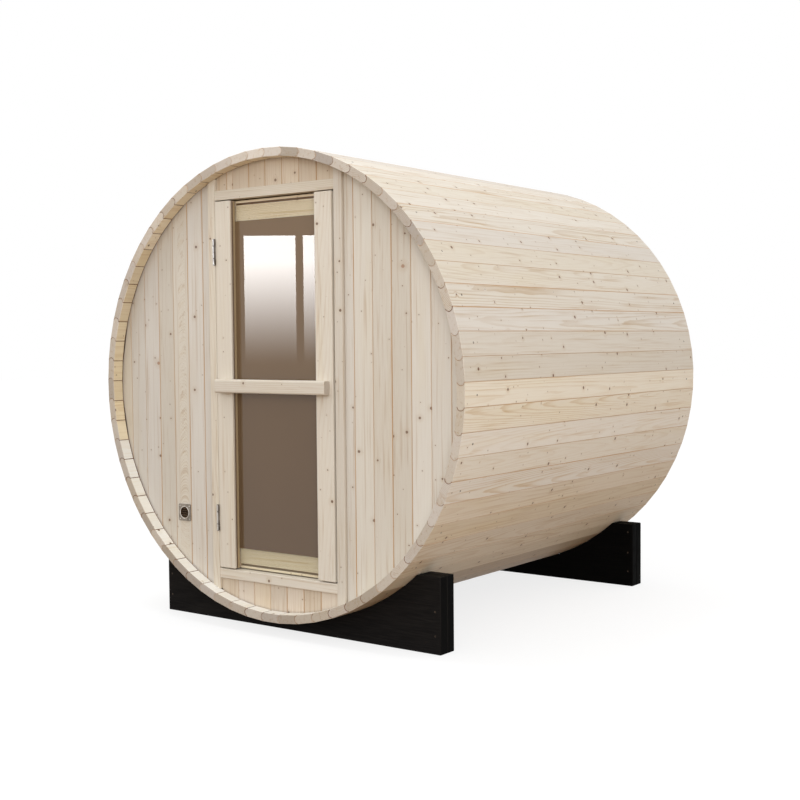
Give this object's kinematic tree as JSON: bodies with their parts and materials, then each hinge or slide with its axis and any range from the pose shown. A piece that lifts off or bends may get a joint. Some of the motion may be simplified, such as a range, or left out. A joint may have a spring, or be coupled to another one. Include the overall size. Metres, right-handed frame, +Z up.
{
  "type": "barrel sauna",
  "caption": "Round wooden barrel sauna cabin lying on two black cradles, with staved shell, recessed board end walls and a hinged glazed door.",
  "frame": {"origin": "on the ground under the middle of the barrel", "axes": "-Y is the front with the door, the barrel lies along Y, +X is the side the handle edge of the door is on, +Z is up"},
  "size_m": [1.8994, 1.988, 1.96],
  "materials": {
    "stave_spruce": "planed, untreated",
    "wall_spruce": "planed, untreated",
    "door_spruce": "planed, untreated",
    "black_cradle": "black stain, satin",
    "tinted_glass": "bronze tinted, polished",
    "stainless_steel": "brushed"
  },
  "bodies": {
    "cabin": {"staves_01": "stave_spruce", "staves_02": "stave_spruce", "staves_03": "stave_spruce", "staves_04": "stave_spruce", "staves_05": "stave_spruce", "staves_06": "stave_spruce", "staves_07": "stave_spruce", "staves_08": "stave_spruce", "staves_09": "stave_spruce", "staves_10": "stave_spruce", "staves_11": "stave_spruce", "staves_12": "stave_spruce", "staves_13": "stave_spruce", "front_wall_left": "wall_spruce", "front_wall_right": "wall_spruce", "front_wall_over_door": "wall_spruce", "front_wall_under_door": "wall_spruce", "back_wall_left": "wall_spruce", "back_wall_right": "wall_spruce", "door_jamb_left": "door_spruce", "door_jamb_right": "door_spruce", "door_head": "door_spruce", "door_sill": "door_spruce", "vent_plate": "stainless_steel", "vent_grille": "stainless_steel", "upper_hinge_frame_leaf": "stainless_steel", "lower_hinge_frame_leaf": "stainless_steel", "front_cradle_outer_plank": "black_cradle", "front_cradle_inner_plank": "black_cradle", "back_cradle_inner_plank": "black_cradle", "back_cradle_outer_plank": "black_cradle"},
    "door": {"door_stile_left": "door_spruce", "door_stile_right": "door_spruce", "door_rail_top": "door_spruce", "door_rail_bottom": "door_spruce", "door_glass": "tinted_glass", "handle_bar": "door_spruce", "upper_hinge_door_leaf": "stainless_steel", "lower_hinge_door_leaf": "stainless_steel"}
  },
  "joints": [
    {"name": "door_hinge", "type": "hinge", "parent": "cabin", "child": "door", "pos_m": [-0.3155, -0.96, 1.01], "axis": [0, 0, -1], "range_deg": [0, 120]}
  ]
}
